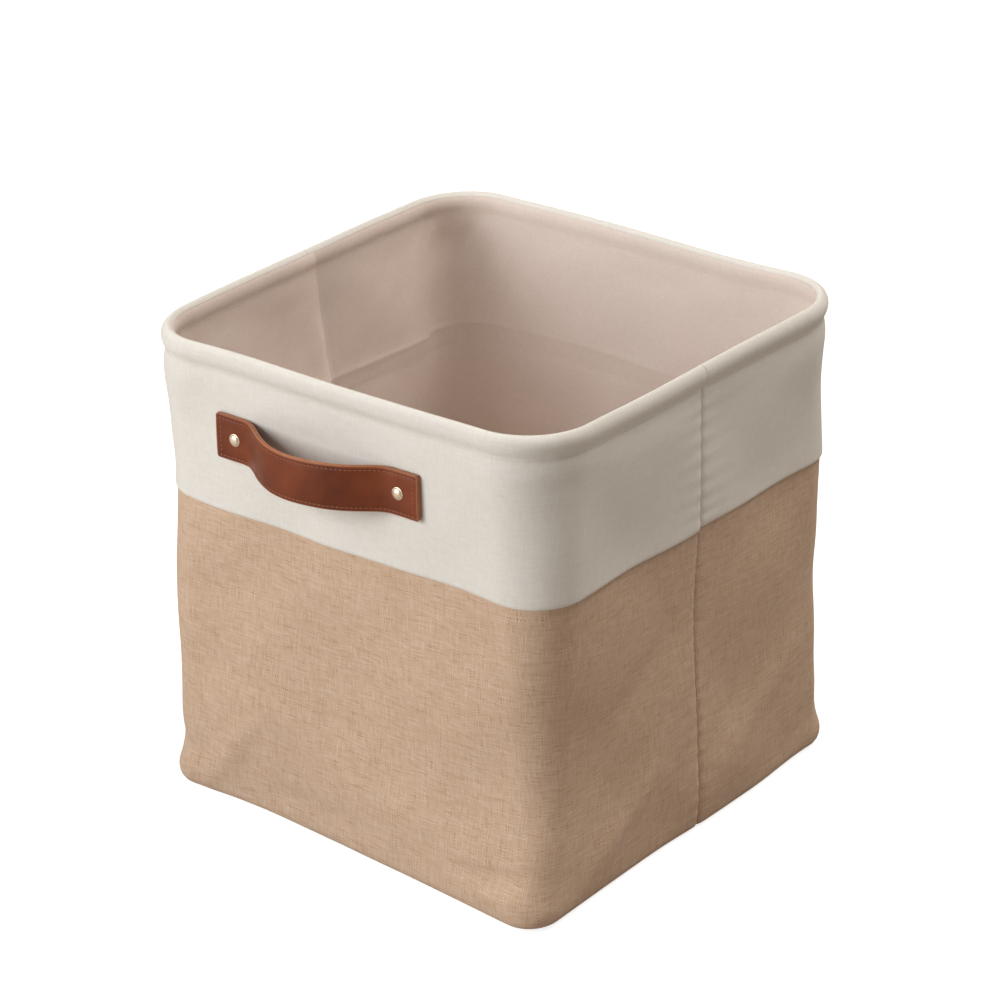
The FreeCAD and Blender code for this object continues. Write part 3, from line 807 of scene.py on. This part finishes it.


# The upper lining runs from the rim's top down over the inner half of its roll: painted shade, as
# its pinker greige stands where the roll's cream lies in shade.
lining_paths = {
    "lower": smooth_path([(5.9, 217.0), (5.9, 111), (5.9, 5.7)], 64),
    "upper": smooth_path(
        [(5.6, 327.7), (6.1, 327.0), (6.8, 325.3), (7.25, 322.8), (7.15, 320.4), (6.5, 317.9),
         (6.0, 315.6), (5.9, 311), (5.9, 300), (5.9, 260), (5.9, 217.0)],
        76,
    ),
}
for part, body in (("lower", "base"), ("upper", "rim")):
    for side in ("front", "back"):
        inside = lining_paths[part]
        outside = under_side(inside, LINING_THICK)
        lining = wall_piece(
            f"{part}_lining_cloth_{side}", side, inside, outside, 3, lining_shape, gap=0.01
        )
        lining.data.materials.append(wall_lining_cloth)
        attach(lining, body)
        if part == "lower":
            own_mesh(lining)
        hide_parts(f"{part}_lining_{side}")

# -------------------- bottom
# The bottom is three layers sewn to the foot of the wall: jute underneath, felted wadding, and
# lining on top. Each is a little smaller than the wall's outline, by its own inset.


def stacked_faces(rows, count):
    """The faces of rings of count points stacked in rows, with both ends closed."""
    ring = np.arange((rows - 1) * count).reshape(-1, count)
    after = np.roll(ring, -1, axis=1)
    sides = np.stack([ring, after, after + count, ring + count], -1).reshape(-1, 4)
    return [*sides.tolist(), [*range(count)], [*range(ring.size, ring.size + count)]]


def slab(name, form, profile, step, sag=None, leaning=False):
    """A flat piece swept round a rounded rectangle; profile is (inset, height) from the
    middle of the top, round the edge and back to the middle of the underside."""
    half_width, half_depth, corner = form
    columns = wall_columns(step)
    rows = []
    for inset, height in profile:
        radius = max(corner - inset, 1.0)
        x, y, _ = half_outline(columns, half_width - inset, half_depth - inset, radius)
        half = np.column_stack([x, y, np.full(len(x), float(height))])[:-1]
        rows.append(np.vstack([half, half * (-1, -1, 1)]))
    points = np.stack(rows)
    if sag:
        points[..., 2] += sag(points)
    faces = stacked_faces(*points.shape[:2])
    points = points.reshape(-1, 3)
    if leaning:
        points = lean(points)
    return mesh_object(name, points, faces, points[:, :2])


def edge_profile(low, high, rounding, spacing, middle):
    """A slab's profile with a rounded edge, from its middle line out and back."""
    inward = list(np.arange(middle, rounding, -spacing))
    arc = [(rounding * (1 - math.cos(t)), math.sin(t)) for t in np.linspace(1.57, -1.57, 9)]
    half = (high - low) / 2
    profile = [(i, high) for i in inward]
    profile += [(inset, low + half + half * s) for inset, s in arc]
    return profile + [(i, low) for i in reversed(inward)]


def bottom_form(inset):
    """The wall's outline on the floor, moved in."""
    return tuple(length - inset for length in BASE_FORM)


bottom_cloth = slab(
    "bottom_cloth_jute", bottom_form(9.4), edge_profile(0.1, 1.4, 0.7, 7, 144), 5, leaning=True
)
bottom_cloth.data.materials.append(jute_cloth)
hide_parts("bottom_jute")
bottom_wadding = slab("bottom_wadding", bottom_form(9.2), edge_profile(1.7, 4.6, 1.0, 12, 144), 8)
bottom_wadding.data.materials.append(wadding)
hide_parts("bottom_padding")
bottom_inner = slab(
    "bottom_cloth_lining", bottom_form(6.7), edge_profile(4.85, 5.4, 0.25, 6, 147), 5
)
bottom_inner.data.materials.append(lining_cloth)
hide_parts("bottom_lining")
for piece in (bottom_cloth, bottom_wadding, bottom_inner):
    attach(piece, "base")

# -------------------- strap handles
# Each handle is two layers of tan leather cemented and sewn round the edge, with squared
# ends riveted through the wall. It bows away from the wall, so that a hand goes behind it.

# the strap's middle line seen from above: along the wall, and out from it
STRAP_LINE = [
    (-82.5, 2.1), (-70, 2.1), (-61, 2.15), (-54, 3.6), (-46.5, 8.2), (-37, 15.0), (-27, 20.7),
    (-17, 24.6), (-5, 26.6), (7, 26.0), (21, 23.2), (33, 18.4), (43, 12.2), (51, 6.4),
    (58, 3.0), (66, 2.15), (82.5, 2.1),
]
STRAP_HALF_WIDTH = 15.5
STRAP_HALF_THICK = 1.78
STRAP_STATIONS = 190
STRAP_TWIST = 0.28
END_ROUNDING = 1.1
SEWN_LINE = 12.8
WALL_AT_STRAP = BASE_FORM[1] + (RIM_FORM[1] - BASE_FORM[1]) * STRAP_HEIGHT / BIN_HEIGHT


def strap_frames():
    """Stations along the strap: distance from its end, middle point and outward direction."""
    line = smooth_path(STRAP_LINE, STRAP_STATIONS)
    return run_along(line), line, left_of(line)


def on_strap(side, run, line, outward, width, out):
    """Points on the strap: width is up its face, and out is off its middle layer."""
    along_wall = line[:, 0] + outward[:, 0] * out
    off_wall = line[:, 1] + outward[:, 1] * out
    twist = STRAP_TWIST * np.sin(np.pi * run / run[-1]) * width / STRAP_HALF_WIDTH
    x = -STRAP_OFFSET + along_wall
    y = -(WALL_AT_STRAP + off_wall + twist)
    z = STRAP_HEIGHT + width + 0 * x
    points = np.column_stack([x, y, z])
    return points if side == "front" else points * (-1, -1, 1)


def strap_section():
    """Outline of the two layers: (width, out, how far it's a cut edge), closed. The face is
    slightly crowned, with a groove for the stitches."""
    half, thick = STRAP_HALF_WIDTH, STRAP_HALF_THICK
    left = [(-half + 0.7, thick - 0.1, 0.25), (-half + 1.6, thick, 0)]
    left += [(-SEWN_LINE + off, thick - deep, 0) for off, deep in ((-0.4, 0), (0, 0.16), (0.4, 0))]
    left += [(-9, thick + 0.08, 0), (-4.5, thick + 0.14, 0)]
    face = left + [(0, thick + 0.16, 0)] + [(-w, t, c) for w, t, c in reversed(left)]
    edge = [(half - 0.22, thick - 0.42, 1), (half, thick - 0.9, 1), (half - 0.02, 0.22, 1),
            (half - 0.35, 0, 1)]
    seen = face + edge
    back = [(w, -t, c) for w, t, c in reversed(seen[:-1])]
    far = [(-w, t, c) for w, t, c in reversed(edge[:-1])]
    lower = [(-w, -t, c) for w, t, c in edge[:-1]]
    return seen + back + lower + [(-half + 0.35, 0, 1)] + far


def capped_faces(rows, count):
    """The faces of a closed ring of rows, and the two that close its ends."""
    ends = [[row * count + end for row in range(rows)] for end in (0, count - 1)]
    return sleeve_faces(rows, count) + ends


def leather_strap(side):
    """One strap as a closed mesh, with the cut edges marked for the material."""
    run, line, outward = strap_frames()
    section = strap_section()
    from_end = np.minimum(run, run[-1] - run)
    short = np.clip(END_ROUNDING - from_end, 0, END_ROUNDING)
    narrow = END_ROUNDING - np.sqrt(np.maximum(END_ROUNDING**2 - short**2, 0))
    rows = []
    for width, out, cut in section:
        share = (STRAP_HALF_WIDTH - narrow) / STRAP_HALF_WIDTH
        rows.append(on_strap(side, run, line, outward, width * share, out))
    points = np.stack(rows)
    count = points.shape[1]
    faces = capped_faces(len(rows), count)
    widths = np.array([w for w, t, c in section])
    flat = np.stack(np.broadcast_arrays(run[None, :], widths[:, None]), -1)
    made = mesh_object(f"leather_strap_{side}", points.reshape(-1, 3), faces, flat.reshape(-1, 2))
    cut = np.array([c for w, t, c in section], float)[:, None] + 0 * run[None, :]
    cut[:, 0] = 1
    cut[:, -1] = 1
    mark = made.data.attributes.new("cut_edge", "FLOAT", "POINT")
    mark.data.foreach_set("value", cut.astype(np.float32).ravel())
    return made


leather, leather_tree = new_material("tan_leather")
leather_place = object_place(leather_tree)
pores = add_node(
    leather_tree, "ShaderNodeTexVoronoi", {"Vector": leather_place, "Scale": 1500.0}
)
creasing = noise(leather_tree, leather_place, 260.0, 5.0, 0.6)
hide_colour = ramp(
    leather_tree,
    noise(leather_tree, leather_place, 34.0, 3.0),
    [(0.3, srgb(96, 42, 20)), (0.5, srgb(112, 52, 26)), (0.72, srgb(128, 63, 34))],
)
# The cut edges are painted a lighter tan, unevenly: partly the cut leather's own colour, partly a
# painted highlight along the strap's edges.
edge_mark = add_node(leather_tree, "ShaderNodeAttribute", attribute_name="cut_edge")
rubbed_and_highlit = maths(leather_tree, "MULTIPLY_ADD", creasing, 0.5, 0.62)
hide_with_highlit_edges = add_node(
    leather_tree,
    "ShaderNodeMix",
    {
        0: maths(leather_tree, "MULTIPLY", edge_mark.outputs["Fac"], rubbed_and_highlit),
        6: hide_colour,
        7: srgb(172, 112, 78),
    },
    data_type="RGBA",
)
grain = maths(leather_tree, "MULTIPLY_ADD", pores.outputs["Distance"], 0.6, creasing)
finish_surface(
    leather_tree,
    {
        "Base Color": hide_with_highlit_edges.outputs[2],
        "Roughness": maths(leather_tree, "MULTIPLY_ADD", creasing, 0.25, 0.36),
        "Specular IOR Level": 0.3,
        "Normal": relief(leather_tree, grain, 0.35, 0.2 * MM),
    },
)


def build_stitches():
    """Geometry nodes that lay a row of short thread stitches along a line."""
    tree = bpy.data.node_groups.new("row of stitches", "GeometryNodeTree")
    face = tree.interface
    face.new_socket(name="Line", in_out="INPUT", socket_type="NodeSocketGeometry")
    for label in ("Stitch spacing", "Stitch length", "Thread thickness"):
        face.new_socket(name=label, in_out="INPUT", socket_type="NodeSocketFloat")
    face.new_socket(name="Thread", in_out="INPUT", socket_type="NodeSocketMaterial")
    face.new_socket(name="Stitches", in_out="OUTPUT", socket_type="NodeSocketGeometry")
    given, made = tree.nodes.new("NodeGroupInput"), tree.nodes.new("NodeGroupOutput")
    row = add_node(tree, "GeometryNodeMeshToCurve", {0: given.outputs["Line"]})
    spaced = add_node(
        tree,
        "GeometryNodeResampleCurve",
        {"Curve": row.outputs[0], "Length": given.outputs["Stitch spacing"]},
        mode="LENGTH",
    )
    bead = add_node(
        tree, "GeometryNodeMeshUVSphere", {"Segments": 6, "Rings": 5, "Radius": 0.5}
    )
    size = add_node(
        tree,
        "ShaderNodeCombineXYZ",
        {
            0: given.outputs["Thread thickness"],
            1: given.outputs["Thread thickness"],
            2: given.outputs["Stitch length"],
        },
    )
    stitch = add_node(
        tree, "GeometryNodeTransform", {"Geometry": bead.outputs[0], "Scale": size.outputs[0]}
    )
    smooth = add_node(tree, "GeometryNodeSetShadeSmooth", {0: stitch.outputs[0]})
    aim = add_node(
        tree,
        "FunctionNodeAlignRotationToVector",
        {"Vector": add_node(tree, "GeometryNodeInputTangent").outputs[0]},
        axis="Z",
    )
    laid = add_node(
        tree,
        "GeometryNodeInstanceOnPoints",
        {"Points": spaced.outputs[0], "Instance": smooth.outputs[0], "Rotation": aim.outputs[0]},
    )
    real = add_node(tree, "GeometryNodeRealizeInstances", {0: laid.outputs[0]})
    dyed = add_node(
        tree,
        "GeometryNodeSetMaterial",
        {"Geometry": real.outputs[0], "Material": given.outputs["Thread"]},
    )
    tree.links.new(dyed.outputs[0], made.inputs[0])
    return tree


stitch_tree = build_stitches()


def stitches(name, lines, spacing, length, thickness, thread):
    """Rows of stitches along lines of points in millimetres, as one plain mesh."""
    points, edges = [], []
    for line in lines:
        start = len(points)
        points += (np.asarray(line) * MM).tolist()
        edges += [(i, i + 1) for i in range(start, len(points) - 1)]
    mesh = bpy.data.meshes.new(f"{name}_line")
    mesh.from_pydata(points, edges, [])
    carrier = new_object(f"{name}_line", mesh)
    layer = carrier.modifiers.new("stitches", "NODES")
    layer.node_group = stitch_tree
    values = {
        "Stitch spacing": spacing * MM,
        "Stitch length": length * MM,
        "Thread thickness": thickness * MM,
        "Thread": thread,
    }
    for item in stitch_tree.interface.items_tree:
        if item.name in values:
            layer[item.identifier] = values[item.name]
    bpy.context.view_layer.update()
    solid = carrier.evaluated_get(bpy.context.evaluated_depsgraph_get())
    result = bpy.data.meshes.new_from_object(solid)
    result.name = name
    bpy.data.objects.remove(carrier)
    return new_object(name, result)


def thread_material(name, dark, light):
    """Twisted sewing thread."""
    material, tree = new_material(name)
    twist = add_node(
        tree,
        "ShaderNodeTexWave",
        {"Vector": object_place(tree), "Scale": 900.0, "Distortion": 1.5},
        bands_direction="DIAGONAL",
    ).outputs["Fac"]
    finish_surface(
        tree,
        {
            "Base Color": ramp(tree, twist, [(0.1, dark), (0.9, light)]),
            "Roughness": 0.6,
            "Sheen Weight": 0.2,
            "Normal": relief(tree, twist, 0.5, 0.1 * MM),
        },
    )
    return material


END_SEAM = 3.2
# how far off the wall the strap is still held by its rivets, and where it swings freely
STILL_TO, SWINGS_FROM = 1.0, 19.0
tan_thread = thread_material("tan_thread", srgb(138, 82, 54), srgb(172, 112, 80))
for side in ("front", "back"):
    strap = leather_strap(side)
    strap.data.materials.append(leather)
    run, line, outward = strap_frames()
    keep = np.flatnonzero((run > END_SEAM) & (run < run[-1] - END_SEAM))
    height = STRAP_HALF_THICK + 0.02
    lines = [
        on_strap(side, run, line, outward, width, height)[keep] for width in (SEWN_LINE, -SEWN_LINE)
    ]
    for end in (keep[0], keep[-1]):
        across_end = np.linspace(-SEWN_LINE, SEWN_LINE, 12)
        lines.append(
            np.vstack([on_strap(side, run, line, outward, w, height)[end] for w in across_end])
        )
    sewn = stitches(f"strap_stitches_{side}", lines, 3.0, 2.3, 0.55, tan_thread)
    out = Vector((0, -1 if side == "front" else 1, 0))
    end = out * (WALL_AT_STRAP + SWINGS_FROM) * MM
    for piece in (strap, sewn):
        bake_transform(piece)
    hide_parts(f"{side}_grip", f"{side}_tab_a", f"{side}_tab_b")

# -------------------- rivets
# Pale gold rivets hold each strap's ends: a domed head with a fine rim outside the strap, a
# shank through the wall, and a washer against the wadding on the inside.
HEAD_RADIUS = 4.2


def metal_material(name, scale, detail, stops, metallic, smoothest):
    """Plain or plated metal, its gloss broken by handling."""
    material, tree = new_material(name)
    worn = noise(tree, object_place(tree), scale, detail)
    finish_surface(
        tree,
        {
            "Base Color": ramp(tree, worn, stops),
            "Metallic": metallic,
            "Roughness": maths(tree, "MULTIPLY_ADD", worn, 0.25, smoothest),
        },
    )
    return material


gold_stops = [(0.3, srgb(238, 214, 188)), (0.7, srgb(250, 236, 218))]
pale_gold = metal_material("pale_gold", 900.0, 4.0, gold_stops, 0.85, 0.3)


def coat(material, *nodes):
    """Gives its finish to pieces that keep the shape they have."""
    for node in nodes:
        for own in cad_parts[node].material_slots:
            own.material = material


def turned_piece(name, profile, centres, outward, segments=32):
    """Round pieces turned from a profile of (radius, height), one standing at each centre."""
    angle = np.linspace(0, 2 * np.pi, segments, endpoint=False)
    points, faces = [], []
    for centre in centres:
        first = len(points)
        for radius, height in profile:
            ring = np.column_stack(
                [
                    centre[0] + radius * np.cos(angle),
                    np.full(segments, centre[1] + outward * height),
                    centre[2] + radius * np.sin(angle),
                ]
            )
            points += ring.tolist()
        faces += [[first + i for i in face] for face in stacked_faces(len(profile), segments)]
    return mesh_object(name, points, faces, sharp=50)


head_profile = [
    (1.9, 0.0), (4.0, 0.0), (4.25, 0.12), (4.25, 0.38), (4.05, 0.52), (3.75, 0.55),
    (3.6, 0.8), (3.15, 1.25), (2.5, 1.6), (1.7, 1.82), (0.9, 1.93), (0.3, 1.96),
]
for side in ("front", "back"):
    outward = -1 if side == "front" else 1
    low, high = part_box(f"{side}_rivet_heads")
    base = (high.y if side == "front" else low.y) / MM
    spread = (high.x - low.x) / MM / 2 - HEAD_RADIUS
    middle = (low.x + high.x) / MM / 2
    centres = [(middle + s * spread, base, STRAP_HEIGHT) for s in (-1, 1)]
    heads = turned_piece(f"rivet_domes_{side}", head_profile, centres, outward)
    heads.data.materials.append(pale_gold)
    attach(heads, "rim")
    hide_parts(f"{side}_rivet_heads")
    coat(pale_gold, f"{side}_rivet_shanks", f"{side}_rivet_washers")

# -------------------- rim stitches
# Two rows of cream thread close the wire's sleeve, in the grooves under the rim's roll: one
# outside and one inside.
cream_thread = thread_material("cream_thread", srgb(198, 190, 176), srgb(226, 219, 207))


def wall_line(side, inset, height, shape, trim=6):
    """A line of points round half the wall, on a cloth's own shape, ending short of the seams."""
    plain, outward = wall_outline(wall_columns(OUTER_STEP), [height], side)
    move, rise = shape(plain, inset)
    points = plain.copy()
    points[..., :2] += outward * (move - inset)[..., None]
    points[..., 2] += rise
    return points[0, trim:-trim]


sleeve_rows = [wall_line(side, 1.08, 313.8, cream_shape) for side in ("front", "back")]
facing_rows = [wall_line(side, 6.05, 315.2, lining_shape) for side in ("front", "back")]
rim_stitches = stitches("rim_stitches", sleeve_rows + facing_rows, 3.4, 2.6, 0.36, cream_thread)
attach(rim_stitches, "rim")

# -------------------- rim wire
# A closed ring of spring steel inside the sleeve, its ends joined in a crimped ferrule.
steel_stops = [(0.3, srgb(150, 152, 155)), (0.7, srgb(196, 198, 200))]
coat(
    metal_material("spring_steel", 300.0, 3.0, steel_stops, 0.95, 0.25),
    "rim_wire",
    "wire_ferrule",
)

# -------------------- loose insert
# A fibre board with lining cloth glued round it lies on the bottom, so that it stays flat.
# A woven ribbon near its front edge lifts it out.
RIBBON_STATIONS = 60
board_stops = [(0.35, srgb(120, 96, 72)), (0.65, srgb(168, 140, 110))]
coat(fibrous_material("fibre_board", 500.0, board_stops, 0.85, 0.4, 0.2 * MM), "insert_board")


def cover_sag(points):
    """The cover's cloth is a little full over the board's edge."""
    x, y, z = np.moveaxis(points, -1, 0)
    edge = swell(np.abs(x), 152, 14) + swell(np.abs(y), 149, 14)
    return (z > 9) * (0.25 * edge + 0.1 * np.sin(x / 31 + 1) * np.sin(y / 26))


cover_top = [(i, 9.4) for i in np.arange(146, 2, -6.0)]
cover_edge = [(1.0, 9.3), (0.35, 8.9), (0.0, 8.2), (0.0, 7.0), (0.35, 6.3), (1.0, 5.9)]
cover_turning = [(i, 5.8) for i in np.arange(2.5, 24, 4.2)] + [(24, 5.85), (24, 6.35)]
cover_inside = [(i, 6.35) for i in (20, 12, 4, 0.8)] + [(0.65, 6.6), (0.65, 8.7)]
cover_inside += [(i, 8.84) for i in (1.2, 8, 30, 60, 90, 120, 146)]
cover = slab(
    "insert_cover_cloth",
    (152.5, 149.5, 36),
    cover_top + cover_edge + cover_turning + cover_inside,
    4,
    cover_sag,
)
cover.data.materials.append(lining_cloth)
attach(cover, "insert")
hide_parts("insert_cover")
ribbon_stops = [(0.25, srgb(196, 176, 156)), (0.75, srgb(222, 208, 190))]
ribbon_cloth = woven_material(
    "woven_ribbon", 0.8 * MM, 30.0, ribbon_stops, 0.3, 0.05, 0.7, 0.1, seed=2.0
)
low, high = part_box("insert_pull")
middle_y = (low.y + high.y) / MM / 2
half_long = (high.x - low.x) / MM / 2
half_wide = (high.y - low.y) / MM / 2
ribbon_line = smooth_path(
    [(-half_long, 10.05), (-22, 10.05), (-15, 10.6), (0, 14.0), (15, 10.6), (22, 10.05),
     (half_long, 10.05)],
    RIBBON_STATIONS,
)
upper = [(-half_wide + 0.4, 0.42), (-half_wide + 2, 0.36), (0, 0.38), (half_wide - 2, 0.36),
         (half_wide - 0.4, 0.42)]
ring = [(-half_wide, 0.0), *upper, (half_wide, 0.0), *((w, -out) for w, out in reversed(upper))]
points, flat = [], []
for width, out in ring:
    for (x, z), (off_x, off_z) in zip(ribbon_line, left_of(ribbon_line)):
        points.append((x + off_x * out, middle_y + width, z + off_z * out))
        flat.append((x, width))
faces = capped_faces(len(ring), RIBBON_STATIONS)
ribbon = mesh_object("insert_ribbon", points, faces, flat)
ribbon.data.materials.append(ribbon_cloth)
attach(ribbon, "insert")
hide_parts("insert_pull")
bars = []
for end in (-1, 1):
    for x in (half_long - 1.5, half_long - 5.5):
        width = np.linspace(-half_wide + 1.5, half_wide - 1.5, 20)
        bars.append([(end * x, middle_y + w, 10.5) for w in width])
ribbon_stitches = stitches("ribbon_stitches", bars, 2.4, 1.9, 0.4, cream_thread)
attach(ribbon_stitches, "insert")

# -------------------- update
# The view layer is brought up to date.
bpy.context.view_layer.update()
